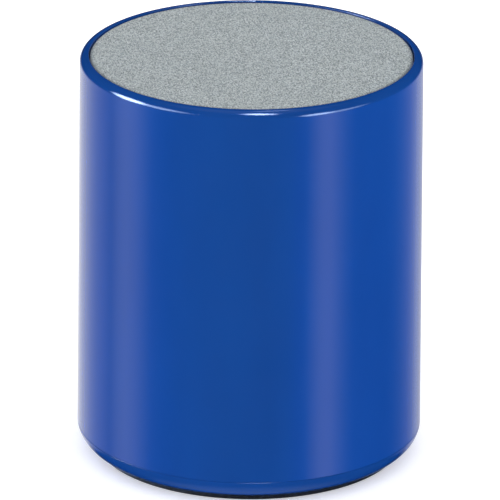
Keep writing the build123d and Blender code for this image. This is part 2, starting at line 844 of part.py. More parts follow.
def switch_knob():
    """Ribbed finger knob with a dust cover above the slot, standing at off."""
    x = -switch_travel / 2
    low = pocket_height - knob_drop
    grip_size = (knob_length, knob_width, knob_cover_low - low + knob_cover[2] / 2)
    grip = fillet(block(x, switch_y, low, grip_size).edges().filter_by(Axis.Z), small_round)
    groove_width, groove_depth = knob_groove
    groove_size = (groove_width, knob_width + 1, groove_depth + 1)
    grooves = [block(x + i * knob_groove_pitch, switch_y, low - 1, groove_size) for i in (-1, 0, 1)]
    return grip - grooves + block(x, switch_y, knob_cover_low, knob_cover)


def switch_lever():
    """Lever of the switch, held by the knob's cover."""
    low = knob_cover_low + knob_cover[2]
    height = switch_clearance + switch_lever_depth
    return block(-switch_travel / 2, switch_y, low, (*switch_lever_size, height))


def charge_light():
    """Light-emitting chip on the board's underside."""
    return block(light_x, 0, board_height - charge_light_size[2], charge_light_size)


def light_pipe():
    """Clear rod that carries the light to the pocket."""
    low = pocket_height - light_drop
    high = board_height - charge_light_size[2] - 2 * gap
    flange_low = pocket_top + gap
    flange_high = flange_low + light_flange_thickness
    return Pos(light_x, 0, 0) * lathe(
        (0, low),
        (light_radius, low, small_round / 2),
        (light_radius, flange_low),
        (light_radius + light_flange, flange_low),
        (light_radius + light_flange, flange_high),
        (light_radius, flange_high),
        (light_radius, high),
        (0, high),
    )


# ---- cell
def cell_tray():
    """Tray on three legs, notched for the leads, with lips round the cell."""
    plate = ring(0, tray_radius, tray_height, tray_top, small_round)
    through = tray_thickness + 2
    notch_x = lead_drop_radius - tray_notch_depth + tray_radius / 2
    notch = block(notch_x, 0, tray_height - 1, (tray_radius, tray_notch_width, through))
    window = block(0, 0, tray_height - 1, (cell_tape_reach, cell_width / 2, through))
    legs, pilots = [], []
    for x, y in spots(tray_post_circle, tray_post_angles):
        legs.append(post(x, y, tray_post_radius, post_seat + gap, tray_height + join))
        pilots.append(post(x, y, case_screw["shank"] + thread_clearance, post_seat, case_pilot_top))
    thick, width, height = tray_lip
    low = tray_top - join
    lips = []
    for side in (-1, 1):
        side_y = side * (cell_width / 2 + tray_lip_clearance + thick / 2)
        lips.append(block(0, side_y, low, (tray_side_lip_length, thick, height + join)))
        end_y = side * (tray_notch_width + width) / 2
        for end in (-cell_circuit_end, cell_length / 2):
            end_x = math.copysign(abs(end) + tray_lip_clearance + thick / 2, end)
            lips.append(block(end_x, end_y + side * tray_lip_clearance, low, (thick, width, height + join)))
    return joined([plate, *legs, *lips]) - around(notch, (0, 180)) - pilots - window


def cell_tape():
    """Two foam strips under the cell."""
    return Compound([block(x, 0, tray_top, cell_tape_size) for x in (-cell_tape_reach, cell_tape_reach)])


def cell():
    """Lithium pouch cell with rounded long edges."""
    body = block(0, 0, cell_bottom, (cell_length, cell_width, cell_thickness))
    return fillet(body.edges().filter_by(Axis.X), cell_round)


def cell_protection():
    """Circuit strip along the cell's end."""
    length, width, height = cell_circuit
    return block(length / 2 - cell_circuit_end, 0, cell_bottom + (cell_thickness - height) / 2, cell_circuit)


# ---- leads
def drop_to_plug(side, y):
    """Last points of a lead: down through the tray's notch, then into the board's plug."""
    plug_end = connector_reach + plug_overhang
    return [
        (side * lead_drop_radius, y, tray_height - 1),
        (side * (plug_end + 2.4), y, lead_plug_height),
        (side * (plug_end - lead_hole_depth / 2), y, lead_plug_height),
    ]


def cell_lead(y):
    """Lead from the cell's circuit down to the board's plug."""
    lift = cell_bottom + cell_thickness / 2
    top = [(-cell_circuit_end - gap, y, lift), (-cell_circuit_end - lead_out, y, lift)]
    return tube([*top, *drop_to_plug(-1, y)], lead_radius, [0.9, 1.6, 1.5])


def speaker_lead(y, tag_y):
    """Lead from a driver tag down past the cell to the board's plug."""
    height = terminal_board_top - lead_radius - gap
    top = [
        (terminal_reach - 0.9, tag_y, height),
        (lead_drop_radius + 0.9, tag_y, height - 1.2),
        (lead_drop_radius + 0.5, y, (height + tray_top) / 2),
    ]
    return tube([*top, *drop_to_plug(1, y)], lead_radius, [0.8, 3.0, 1.6, 1.5])


parts = {
    "shell": shell(),
    "base_cap": base_cap(),
    "foot_ring": foot_ring(),
    "foot_tape": foot_tape(),
    "case_screws": case_screws(),
    "grille_plate": grille_plate(),
    "grille_cloth": grille_cloth(),
    "driver_gasket": driver_gasket(),
    "driver_basket": driver_basket(),
    "driver_screws": screws(spots(driver_screw_circle, driver_screw_angles), flange_top, fine_screw),
    "front_plate": front_plate(),
    "magnet": magnet(),
    "back_plate": back_plate(),
    "coil_former": coil_former(),
    "voice_coil": voice_coil(),
    "cone": cone(),
    "dust_cap": dust_cap(),
    "surround": surround(),
    "spider": spider(),
    "terminal_board": terminal_board(),
    "terminal_tags": terminal_tags(),
    "tinsel_leads": tinsel_leads(),
    "main_board": main_board(),
    "board_screws": screws(spots(board_screw_circle, board_screw_angles), board_top, fine_screw),
    "radio_chip": radio_chip(),
    "amplifier_chip": amplifier_chip(),
    "charger_chip": charger_chip(),
    "crystal": crystal(),
    "inductor": inductor(),
    "reservoir_capacitors": reservoir_capacitors(),
    "chip_parts": chip_parts(),
    "antenna_trace": antenna_trace(),
    "cell_connector": board_connector(-1),
    "cell_plug": lead_plug(-1),
    "speaker_connector": board_connector(1),
    "speaker_plug": lead_plug(1),
    "charging_socket": charging_socket(),
    "socket_tongue": socket_tongue(),
    "socket_contacts": socket_contacts(),
    "switch_body": switch_body(),
    "switch_knob": switch_knob(),
    "switch_lever": switch_lever(),
    "charge_light": charge_light(),
    "light_pipe": light_pipe(),
    "cell_tray": cell_tray(),
    "cell_tape": cell_tape(),
    "cell": cell(),
    "cell_protection": cell_protection(),
    "cell_lead_positive": cell_lead(lead_pitch / 2),
    "cell_lead_negative": cell_lead(-lead_pitch / 2),
    "speaker_lead_positive": speaker_lead(lead_pitch / 2, terminal_pitch / 2),
    "speaker_lead_negative": speaker_lead(-lead_pitch / 2, -terminal_pitch / 2),
}

os.makedirs("parts", exist_ok=True)
for name, solid in parts.items():
    export_step(solid, f"parts/{name}.step")
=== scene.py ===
import json
import math

import bmesh
import bpy
from mathutils import Matrix, Vector

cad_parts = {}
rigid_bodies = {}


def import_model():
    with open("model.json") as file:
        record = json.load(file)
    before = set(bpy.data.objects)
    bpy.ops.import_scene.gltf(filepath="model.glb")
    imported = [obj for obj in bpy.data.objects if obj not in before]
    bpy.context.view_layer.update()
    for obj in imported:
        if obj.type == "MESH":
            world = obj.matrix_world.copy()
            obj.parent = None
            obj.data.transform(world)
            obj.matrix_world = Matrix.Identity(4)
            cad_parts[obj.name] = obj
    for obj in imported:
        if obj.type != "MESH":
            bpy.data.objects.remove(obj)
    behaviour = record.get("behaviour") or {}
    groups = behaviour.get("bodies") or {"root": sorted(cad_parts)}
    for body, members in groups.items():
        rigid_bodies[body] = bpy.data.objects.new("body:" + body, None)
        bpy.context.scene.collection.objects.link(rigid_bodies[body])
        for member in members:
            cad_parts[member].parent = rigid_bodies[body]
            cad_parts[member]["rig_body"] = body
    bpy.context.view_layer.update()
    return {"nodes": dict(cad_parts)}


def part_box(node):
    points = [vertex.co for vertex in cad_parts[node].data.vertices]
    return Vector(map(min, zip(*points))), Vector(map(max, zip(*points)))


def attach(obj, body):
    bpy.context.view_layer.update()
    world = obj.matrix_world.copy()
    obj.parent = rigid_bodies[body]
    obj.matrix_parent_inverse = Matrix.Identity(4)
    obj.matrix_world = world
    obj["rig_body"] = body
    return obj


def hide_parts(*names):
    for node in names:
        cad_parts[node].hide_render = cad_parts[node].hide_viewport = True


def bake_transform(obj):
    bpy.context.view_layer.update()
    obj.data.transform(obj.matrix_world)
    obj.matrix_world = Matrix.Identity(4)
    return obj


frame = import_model()
nodes = frame["nodes"]

# ---- Base cap
# Blue moulded plastic, pushed into the tube's lower end. Its outside is the rounded band that shows
# under the seam, and its underside has the pocket for the socket, the switch and the light.
plastic_blue = (0.0066, 0.0595, 0.283)
plastic_dark = (0.0056, 0.05, 0.243)
noise_low = 0.3
noise_high = 0.7


class Finish:
    """A material under construction: its nodes, its links and its shader."""

    def __init__(self, name):
        self.material = bpy.data.materials.new(name)
        self.material.use_nodes = True
        self.tree = self.material.node_tree
        self.shader = self.tree.nodes["Principled BSDF"]
        self.place = self.node("ShaderNodeTexCoord").outputs["Object"]

    def node(self, kind, **settings):
        made = self.tree.nodes.new(kind)
        for key, value in settings.items():
            setattr(made, key, value)
        return made

    def feed(self, socket, value):
        if isinstance(value, bpy.types.NodeSocket):
            self.tree.links.new(value, socket)
        else:
            socket.default_value = value

    def noise(self, scale, detail=2.0, rough=0.5, stretch=None):
        made = self.node("ShaderNodeTexNoise")
        made.inputs["Scale"].default_value = scale
        made.inputs["Detail"].default_value = detail
        made.inputs["Roughness"].default_value = rough
        place = self.place
        if stretch:
            turn = self.node("ShaderNodeMapping")
            self.feed(turn.inputs["Vector"], place)
            turn.inputs["Scale"].default_value = stretch
            place = turn.outputs["Vector"]
        self.feed(made.inputs["Vector"], place)
        return made.outputs["Fac"]

    def cells(self, scale):
        made = self.node("ShaderNodeTexVoronoi", feature="F1")
        made.inputs["Scale"].default_value = scale
        self.feed(made.inputs["Vector"], self.place)
        return made.outputs["Distance"]

    def axis(self, name):
        split = self.node("ShaderNodeSeparateXYZ")
        self.feed(split.inputs["Vector"], self.place)
        return split.outputs[name]

    def ridges(self, value, pitch):
        """A rounded ridge for each pitch along a value: threads, turns or corrugations."""
        turns = self.math("MULTIPLY", value, math.pi / pitch)
        return self.math("ABSOLUTE", self.math("SINE", turns))

    def spread(self, value, low, high, out_low=0.0, out_high=1.0):
        made = self.node("ShaderNodeMapRange")
        self.feed(made.inputs["Value"], value)
        made.inputs["From Min"].default_value = low
        made.inputs["From Max"].default_value = high
        made.inputs["To Min"].default_value = out_low
        made.inputs["To Max"].default_value = out_high
        return made.outputs["Result"]

    def vary(self, noise, low=0.0, high=1.0):
        """The middle of a noise, spread over a range of values."""
        return self.spread(noise, noise_low, noise_high, low, high)

    def mix(self, share, first, second):
        made = self.node("ShaderNodeMix", data_type="RGBA")
        self.feed(made.inputs["Factor"], share)
        for socket, colour in ((made.inputs["A"], first), (made.inputs["B"], second)):
            if isinstance(colour, bpy.types.NodeSocket):
                self.tree.links.new(colour, socket)
            else:
                socket.default_value = (*colour, 1.0)
        return made.outputs["Result"]

    def math(self, operation, *values):
        made = self.node("ShaderNodeMath", operation=operation)
        for socket, value in zip(made.inputs, values):
            self.feed(socket, value)
        return made.outputs["Value"]

    def bump(self, height, distance, strength=1.0, under=None):
        made = self.node("ShaderNodeBump")
        made.inputs["Strength"].default_value = strength
        made.inputs["Distance"].default_value = distance
        self.feed(made.inputs["Height"], height)
        if under is not None:
            self.feed(made.inputs["Normal"], under)
        return made.outputs["Normal"]

    def set(self, **sockets):
        names = {
            "colour": "Base Color",
            "rough": "Roughness",
            "metal": "Metallic",
            "normal": "Normal",
            "ior": "IOR",
            "coat": "Coat Weight",
            "coat_rough": "Coat Roughness",
            "sheen": "Sheen Weight",
            "sheen_rough": "Sheen Roughness",
            "clear": "Transmission Weight",
        }
        for key, value in sockets.items():
            self.feed(self.shader.inputs[names[key]], value)
        return self.material


def gloss_plastic(name, colour, deep):
    """Polished moulded plastic: faint flow marks in the colour, fine haze and a soft ripple."""
    skin = Finish(name)
    flow = skin.vary(skin.noise(55, 3, 0.55, stretch=(1, 1, 0.35)))
    haze = skin.noise(420, 5, 0.65)
    ripple = skin.bump(skin.noise(90, 2), 0.00001, 0.35)
    return skin.set(
        colour=skin.mix(flow, colour, deep),
        rough=skin.vary(haze, 0.075, 0.12),
        normal=skin.bump(haze, 0.000002, 0.4, under=ripple),
        ior=1.5,
    )


crisp_angle = math.radians(32)
merge_reach = 0.000002


def soften(shape):
    """Smooth faces, with the edges that are sharper than the crisp angle kept sharp."""
    for face in shape.faces:
        face.smooth = True
    for edge in shape.edges:
        edge.smooth = len(edge.link_faces) == 2 and edge.calc_face_angle() < crisp_angle


def stand_in(name, shape, material, slot, body, *replaced, wall=0):
    """The finished mesh as a piece that stands for CAD solids, and rides on a body if named."""
    mesh = bpy.data.meshes.new(name)
    shape.to_mesh(mesh)
    shape.free()
    mesh.materials.append(material)
    piece = bpy.data.objects.new(name, mesh)
    bpy.context.scene.collection.objects.link(piece)
    if wall:
        thicken = piece.modifiers.new("wall", "SOLIDIFY")
        thicken.thickness = wall
        thicken.offset = -1
    weigh = piece.modifiers.new("even shading", "WEIGHTED_NORMAL")
    weigh.keep_sharp = True
    if body:
        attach(piece, body)
    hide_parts(*replaced)
    return piece


def smooth_copy(node, name, material, slot, rides=True):
    """A merged copy of a CAD solid with smooth rounded faces, standing for it."""
    shape = bmesh.new()
    shape.from_mesh(nodes[node].data)
    bmesh.ops.remove_doubles(shape, verts=shape.verts, dist=merge_reach)
    soften(shape)
    body = nodes[node]["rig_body"] if rides else None
    return stand_in(name, shape, material, slot, body, node)


cap_finish = gloss_plastic("cap plastic", plastic_blue, plastic_dark)
smooth_copy("base_cap", "base_cap_moulding", cap_finish, "blue_plastic")

# ---- Circuit board and its screws
# A round board of green masked laminate, with copper tracks that show through the mask. Four
# zinc-plated screws hold it to posts on the cap's pocket.


def finish_nodes(material, *names):
    """CAD solids that stay as they are, with their own material."""
    for name in names:
        nodes[name].data.materials.clear()
        nodes[name].data.materials.append(material)


def plated(name, colour, shade, rough=0.28, brush=None, scale=700):
    """Plated or bare metal: cloudy plating, fine drawn or tumbled marks and duller patches."""
    metal = Finish(name)
    cloud = metal.spread(metal.noise(260, 4, 0.6), 0.35, 0.65)
    marks = metal.noise(scale, 4, 0.7, stretch=brush)
    return metal.set(
        colour=metal.mix(cloud, colour, shade),
        rough=metal.vary(marks, rough * 0.8, rough * 1.35),
        metal=1.0,
        normal=metal.bump(marks, 0.000006, 0.5),
    )


mask = Finish("masked laminate")
track_pitch = 0.0011
tracks = mask.math(
    "MULTIPLY",
    mask.spread(mask.ridges(mask.axis("X"), track_pitch), 0.72, 0.8),
    mask.spread(mask.noise(160, 1), 0.48, 0.5),
)
mask_tone = mask.mix(mask.vary(mask.noise(900, 3)), (0.004, 0.07, 0.028), (0.006, 0.095, 0.04))
finish_nodes(
    mask.set(
        colour=mask.mix(tracks, mask_tone, (0.02, 0.19, 0.07)),
        rough=mask.vary(mask.noise(1200, 3), 0.25, 0.38),
        normal=mask.bump(tracks, 0.00003, 0.6),
        coat=0.4,
        coat_rough=0.2,
    ),
    "main_board",
)
zinc = plated("zinc plating", (0.62, 0.63, 0.66), (0.5, 0.5, 0.5), 0.26)
finish_nodes(zinc, "board_screws")

# ---- Parts on the board
# Moulded epoxy chips, ceramic chip parts, a crystal can, a wound inductor, two sleeved capacitors
# and the printed aerial, all on the board's upper side with the connectors for the leads.


def satin_plastic(name, colour, worn, rough=0.45, grain=1600, depth=0.000012):
    """Moulded plastic or rubber with a fine eroded grain and paler scuffs."""
    skin = Finish(name)
    texture = skin.noise(grain, 4, 0.65)
    scuffs = skin.spread(skin.noise(300, 5, 0.7, stretch=(1, 1, 3)), 0.56, 0.74, 0.0, 0.6)
    return skin.set(
        colour=skin.mix(scuffs, colour, worn),
        rough=skin.vary(texture, rough * 0.85, rough * 1.2),
        normal=skin.bump(texture, depth, 0.7),
        ior=1.5,
    )


finish_nodes(
    satin_plastic("chip epoxy", (0.012, 0.012, 0.013), (0.03, 0.03, 0.031), 0.5, 4200),
    "radio_chip", "amplifier_chip", "charger_chip",
)
ceramic = satin_plastic("chip ceramic", (0.42, 0.3, 0.19), (0.6, 0.56, 0.5), 0.4, 5200)
finish_nodes(ceramic, "chip_parts")
finish_nodes(plated("drawn can", (0.78, 0.78, 0.8), (0.68, 0.68, 0.7), 0.22, (1, 8, 1)), "crystal")
ferrite = satin_plastic("inductor ferrite", (0.035, 0.035, 0.038), (0.1, 0.1, 0.1), 0.6, 2800)
finish_nodes(ferrite, "inductor")
finish_nodes(plated("aerial gold", (0.86, 0.6, 0.24), (0.75, 0.5, 0.2), 0.24), "antenna_trace")

sleeve = Finish("capacitor sleeve")
sleeve_top = 0.0169
stripe_edge = 0.0079
open_can = sleeve.spread(sleeve.axis("Z"), sleeve_top, sleeve_top + 0.00005)
stripe = sleeve.spread(sleeve.axis("Y"), stripe_edge, stripe_edge + 0.0001)
film = sleeve.mix(stripe, (0.012, 0.014, 0.03), (0.5, 0.52, 0.55))
finish_nodes(
    sleeve.set(
        colour=sleeve.mix(open_can, film, (0.7, 0.7, 0.72)),
        rough=sleeve.vary(sleeve.noise(900, 3), 0.28, 0.4),
        metal=open_can,
        normal=sleeve.bump(sleeve.noise(500, 2), 0.00002, 0.4),
    ),
    "reservoir_capacitors",
)
housing_white = satin_plastic("connector nylon", (0.7, 0.67, 0.58), (0.8, 0.78, 0.72), 0.42, 2200)
finish_nodes(housing_white, "cell_connector", "cell_plug", "speaker_connector", "speaker_plug")

# ---- Charging socket
# A sleeve of tinned steel round a black tongue with five gold contacts, soldered to the board's
# underside and reached through the pocket.
tin = plated("tinned steel", (0.74, 0.73, 0.7), (0.6, 0.59, 0.57), 0.2, (1, 1, 6))
smooth_copy("charging_socket", "charging_socket_sleeve", tin, "tin_plate")
tongue_finish = satin_plastic(
    "socket tongue plastic", (0.012, 0.012, 0.012), (0.05, 0.05, 0.05), 0.4
)
smooth_copy("socket_tongue", "socket_tongue_moulding", tongue_finish, "chip_black")
gold = plated("contact gold", (0.88, 0.64, 0.28), (0.78, 0.54, 0.22), 0.18, (1, 6, 1), 1200)
finish_nodes(gold, "socket_contacts")

# ---- Power switch
# A slide switch in a tinned frame, soldered to the board's underside. Its lever carries a ribbed
# black knob, which a fingertip pushes sideways through a slot in the pocket.
frame_tin = plated("switch frame", (0.7, 0.7, 0.68), (0.58, 0.57, 0.55), 0.3, (6, 1, 1))
finish_nodes(frame_tin, "switch_body")
coarse_grain = 0.00002
knob_finish = satin_plastic(
    "knob plastic", (0.014, 0.014, 0.015), (0.07, 0.07, 0.07), 0.5, 2200, coarse_grain
)
smooth_copy("switch_knob", "switch_knob_moulding", knob_finish, "black_plastic")
finish_nodes(knob_finish, "switch_lever")

# ---- Charge light
# A yellow-tinted light chip on the board's underside, over a turned rod of clear acrylic that
# carries its light down to the pocket's ceiling.
lens_resin = Finish("light chip resin")
finish_nodes(
    lens_resin.set(
        colour=lens_resin.mix(lens_resin.noise(1500, 3), (0.85, 0.75, 0.3), (0.9, 0.85, 0.5)),
        rough=lens_resin.vary(lens_resin.noise(2500), 0.2, 0.35),
        normal=lens_resin.bump(lens_resin.noise(3000), 0.000005, 0.4),
    ),
    "charge_light",
)
acrylic = Finish("clear acrylic")
smooth_copy(
    "light_pipe",
    "light_pipe_rod",
    acrylic.set(
        colour=acrylic.mix(acrylic.noise(500, 3), (0.9, 0.93, 0.95), (0.97, 0.98, 0.98)),
        rough=acrylic.spread(acrylic.noise(900, 4), 0.35, 0.7, 0.04, 0.16),
        normal=acrylic.bump(acrylic.noise(700, 2), 0.000004, 0.5),
        ior=1.49,
        clear=1.0,
    ),
    "clear_plastic",
)

# ---- Cell, its tray and its leads
# A foil pouch cell, taped down on a moulded tray over the board. A strip of amber tape covers its
# protection board, and two insulated leads run down to a plug.
tray_finish = satin_plastic(
    "tray plastic", (0.016, 0.016, 0.017), (0.05, 0.05, 0.052), 0.5, 1200, coarse_grain
)
finish_nodes(tray_finish, "cell_tray")

foil = Finish("pouch foil")
creases = foil.noise(170, 6, 0.7)
finish_nodes(
    foil.set(
        colour=foil.mix(foil.spread(creases, 0.4, 0.65), (0.62, 0.64, 0.66), (0.5, 0.51, 0.53)),
        rough=foil.vary(foil.noise(1400, 3), 0.3, 0.45),
        metal=0.9,
        normal=foil.bump(creases, 0.00012, 0.6),
    ),
    "cell",
)
amber = Finish("amber tape")
finish_nodes(
    amber.set(
        colour=amber.mix(amber.noise(400, 4), (0.5, 0.25, 0.03), (0.68, 0.4, 0.08)),
        rough=amber.vary(amber.noise(700, 3), 0.16, 0.3),
        normal=amber.bump(amber.noise(260, 4), 0.00004, 0.5),
    ),
    "cell_protection",
)


def pale_tape(name):
    """Double-sided tape: pale tissue with cloudy adhesive on it."""
    tissue = Finish(name)
    return tissue.set(
        colour=tissue.mix(tissue.noise(700, 4), (0.62, 0.61, 0.57), (0.75, 0.74, 0.7)),
        rough=tissue.vary(tissue.noise(900), 0.5, 0.7),
        normal=tissue.bump(tissue.noise(2500, 2), 0.00001, 0.5),
    )


finish_nodes(pale_tape("cell tape"), "cell_tape")
red_jacket = satin_plastic("red lead jacket", (0.48, 0.012, 0.01), (0.6, 0.06, 0.05), 0.35, 900)
black_jacket = satin_plastic(
    "black lead jacket", (0.01, 0.01, 0.011), (0.04, 0.04, 0.04), 0.35, 900
)
finish_nodes(red_jacket, "cell_lead_positive", "speaker_lead_positive")
finish_nodes(black_jacket, "cell_lead_negative", "speaker_lead_negative")

# ---- Driver's frame and magnet
# A pressed steel basket with a black coating carries the magnet: a ferrite ring between two
# zinc-plated steel plates, held together with adhesive.


def coated_steel(name, colour, rubbed):
    """Black coated steel: orange-peel lacquer with small rubbed patches."""
    coat = Finish(name)
    peel = coat.noise(1500, 3, 0.6)
    rubs = coat.spread(coat.noise(420, 5, 0.75), 0.62, 0.76, 0.0, 0.8)
    return coat.set(
        colour=coat.mix(rubs, colour, rubbed),
        rough=coat.vary(peel, 0.32, 0.48),
        normal=coat.bump(peel, 0.00002, 0.6),
        coat=0.3,
        coat_rough=0.3,
    )


basket_coating = coated_steel("basket coating", (0.014, 0.014, 0.015), (0.09, 0.09, 0.09))
finish_nodes(basket_coating, "driver_basket")
plate_zinc = plated("plate zinc", (0.6, 0.61, 0.63), (0.47, 0.47, 0.47), 0.3, (1, 1, 9))
finish_nodes(plate_zinc, "front_plate", "back_plate")
sinter = Finish("magnet ferrite")
pits = sinter.cells(2600)
chips = sinter.spread(sinter.noise(350, 5, 0.7), 0.6, 0.7)
finish_nodes(
    sinter.set(
        colour=sinter.mix(chips, (0.035, 0.035, 0.038), (0.09, 0.09, 0.095)),
        rough=sinter.vary(sinter.noise(1100, 3), 0.5, 0.72),
        normal=sinter.bump(pits, 0.00003, 0.6),
    ),
    "magnet",
)

# ---- Voice coil, cone and suspension
# Enamelled copper wire on an amber former, glued to a pressed paper cone with a domed cap. A rolled
# rubber surround and a corrugated, resin-dipped cloth spider hold the cone in the middle.
film_finish = Finish("former film")
finish_nodes(
    film_finish.set(
        colour=film_finish.mix(film_finish.noise(300, 3), (0.42, 0.18, 0.03), (0.55, 0.27, 0.06)),
        rough=film_finish.vary(film_finish.noise(800), 0.18, 0.3),
        normal=film_finish.bump(film_finish.noise(600), 0.000008, 0.5),
    ),
    "coil_former",
)
wire_pitch = 0.00014
winding = Finish("coil winding")
turns = winding.ridges(winding.axis("Z"), wire_pitch)
finish_nodes(
    winding.set(
        # Painted shade: the wire is darker in the grooves between its turns.
        colour=winding.mix(winding.spread(turns, 0.1, 0.7), (0.2, 0.05, 0.015), (0.72, 0.27, 0.1)),
        rough=winding.vary(winding.noise(900, 3), 0.2, 0.34),
        metal=0.9,
        normal=winding.bump(turns, 0.00005, 0.8),
    ),
    "voice_coil",
)


def pressed_paper(name, colour, fibre):
    """Felted paper pulp: fibres of mixed shade in a matt, slightly uneven sheet."""
    pulp = Finish(name)
    fibres = pulp.noise(1300, 6, 0.75, stretch=(1, 1, 0.4))
    return pulp.set(
        colour=pulp.mix(pulp.spread(fibres, 0.4, 0.68), colour, fibre),
        rough=pulp.vary(fibres, 0.75, 0.95),
        normal=pulp.bump(fibres, 0.00006, 0.7),
    )


finish_nodes(pressed_paper("cone paper", (0.014, 0.014, 0.015), (0.05, 0.048, 0.045)), "cone")
finish_nodes(pressed_paper("cap paper", (0.011, 0.011, 0.012), (0.04, 0.038, 0.036)), "dust_cap")


def flex_ring(piece):
    """Flattens each vertex onto the X axis at its distance from the centre, bakes the ring's
    placement, then puts every vertex back where it was.
    """
    mesh = piece.data
    places = [vertex.co.copy() for vertex in mesh.vertices]
    for vertex, place in zip(mesh.vertices, places):
        vertex.co = (math.hypot(place.x, place.y), 0, 0)
    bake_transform(piece)
    for vertex, place in zip(mesh.vertices, places):
        vertex.co = place
    mesh.update()


rubber_finish = satin_plastic(
    "surround rubber", (0.012, 0.012, 0.013), (0.04, 0.04, 0.041), 0.58, 900
)
roll = smooth_copy("surround", "surround_roll", rubber_finish, "roll_rubber", rides=False)
flex_ring(roll)


def woven(finish, pitch, turn=0.0):
    """A plain weave's height: each yarn crosses over one and under the next."""
    mapped = finish.node("ShaderNodeMapping")
    finish.feed(mapped.inputs["Vector"], finish.place)
    mapped.inputs["Rotation"].default_value = (0, 0, turn)
    split = finish.node("ShaderNodeSeparateXYZ")
    finish.feed(split.inputs["Vector"], mapped.outputs["Vector"])
    across = finish.math("MULTIPLY", split.outputs["X"], math.pi / pitch)
    along = finish.math("MULTIPLY", split.outputs["Y"], math.pi / pitch)
    over = finish.math("MULTIPLY", finish.math("SINE", across), finish.math("SINE", along))
    crown = finish.node("ShaderNodeMix", data_type="FLOAT")
    finish.feed(crown.inputs["Factor"], finish.spread(over, -0.05, 0.05))
    finish.feed(crown.inputs["A"], finish.math("ABSOLUTE", finish.math("SINE", across)))
    finish.feed(crown.inputs["B"], finish.math("ABSOLUTE", finish.math("SINE", along)))
    return crown.outputs["Result"]


spider_cloth = Finish("spider cloth")
spider_pitch = 0.0004
spider_weave = woven(spider_cloth, spider_pitch)
spider_tone = spider_cloth.mix(spider_cloth.noise(220, 3), (0.5, 0.3, 0.09), (0.62, 0.42, 0.16))
# Painted shade: the spider cloth is darker in the gaps of its weave.
spider_gap_shadow = spider_cloth.spread(spider_weave, 0.1, 0.6, 0.7, 0.0)
spider_finish = spider_cloth.set(
    colour=spider_cloth.mix(spider_gap_shadow, spider_tone, (0.16, 0.08, 0.02)),
    rough=spider_cloth.vary(spider_cloth.noise(900, 3), 0.45, 0.65),
    normal=spider_cloth.bump(spider_weave, 0.00008, 0.8),
)
disc = smooth_copy("spider", "spider_disc", spider_finish, "spider_cloth", rides=False)
flex_ring(disc)

# ---- Driver's terminals and leads
# A brown paper-laminate board on the basket's tab carries two tinned tags. Two limp braids of
# tinsel join them to the cone's back, and bend as it moves.
laminate = Finish("paper laminate")
paper_grain = laminate.noise(900, 5, 0.7, stretch=(1, 0.2, 1))
finish_nodes(
    laminate.set(
        colour=laminate.mix(paper_grain, (0.16, 0.07, 0.02), (0.3, 0.15, 0.06)),
        rough=laminate.vary(laminate.noise(1300), 0.4, 0.55),
        normal=laminate.bump(laminate.noise(1500, 3), 0.00001, 0.5),
    ),
    "terminal_board",
)
finish_nodes(tin, "terminal_tags")
braid = Finish("tinsel braid")
strand_pitch = 0.00025
strands = braid.ridges(braid.math("ADD", braid.axis("X"), braid.axis("Z")), strand_pitch)
braid_finish = braid.set(
    # Painted shade: the braid is darker in the grooves between its strands.
    colour=braid.mix(braid.spread(strands, 0.1, 0.6), (0.3, 0.2, 0.12), (0.8, 0.68, 0.55)),
    rough=braid.vary(braid.noise(1500, 2), 0.3, 0.5),
    metal=0.8,
    normal=braid.bump(strands, 0.00006, 0.8),
)
tinsel = smooth_copy("tinsel_leads", "tinsel_braids", braid_finish, "copper", rides=False)
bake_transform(tinsel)

# ---- Driver gasket and screws
# A ring of closed-cell foam under the driver's flange, and four plated screws through it into the
# tube's posts.


def foam(name, dark, pale):
    """Closed-cell foam cut from sheet: matt skin, open cells and pale specks."""
    sponge = Finish(name)
    specks = sponge.spread(sponge.noise(2600, 3, 0.7), 0.58, 0.74)
    return sponge.set(
        colour=sponge.mix(specks, dark, pale),
        rough=sponge.vary(sponge.noise(800), 0.72, 0.9),
        normal=sponge.bump(sponge.cells(4200), 0.00006, 0.7),
        ior=1.45,
    )


finish_nodes(foam("gasket foam", (0.012, 0.012, 0.012), (0.05, 0.05, 0.05)), "driver_gasket")
finish_nodes(zinc, "driver_screws")

# ---- Tube
# The body: a blue tube, moulded with polished sides and a rounded rim. Inside it are the shelf for
# the driver, the ribs under the grille and the posts for the case screws.
tube_finish = gloss_plastic("tube plastic", plastic_blue, plastic_dark)
tube = smooth_copy("shell", "tube_moulding", tube_finish, "blue_plastic")
tube_low, tube_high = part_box("shell")
rim_radius = 0.025
rim_round = 0.00115
wall_slack = 0.00002
outside_match = 0.96


def polish_outside(mesh):
    """Exact shading on the tube's drafted side and rounded rim; other faces keep their own."""
    draft = (tube_high.x - rim_radius) / (tube_high.z - tube_low.z)
    hub = rim_radius - rim_round
    shoulder = tube_high.z - rim_round
    normals = []
    for face in mesh.polygons:
        for corner in face.vertices:
            place = mesh.vertices[corner].co
            spread = math.hypot(place.x, place.y)
            rise = max(place.z - shoulder, 0.0)
            run = spread - hub if rise else 1.0
            lift = rise if rise else draft
            true = Vector((place.x * run / spread, place.y * run / spread, lift)).normalized()
            outside = spread > hub - wall_slack and face.normal.dot(true) > outside_match
            normals.append(true if outside else Vector((0, 0, 0)))
    mesh.normals_split_custom_set(normals)


tube.modifiers.clear()
polish_outside(tube.data)

# ---- Case screws
# Self-tapping screws from below: three through the cap into the tube's posts, hidden by the foot,
# and three that hold the cell's tray to the cap.
smooth_copy("case_screws", "case_screws_plated", zinc, "zinc_steel")

# ---- Grille plate and cloth
# A perforated plate, with woven polyester pulled over its face and edge and its hem glued under.
# The weave is plain, about three threads to the millimetre, in mixed light and dark grey yarn.
plate_plastic = satin_plastic("plate plastic", (0.012, 0.012, 0.013), (0.03, 0.03, 0.031))
finish_nodes(plate_plastic, "grille_plate")

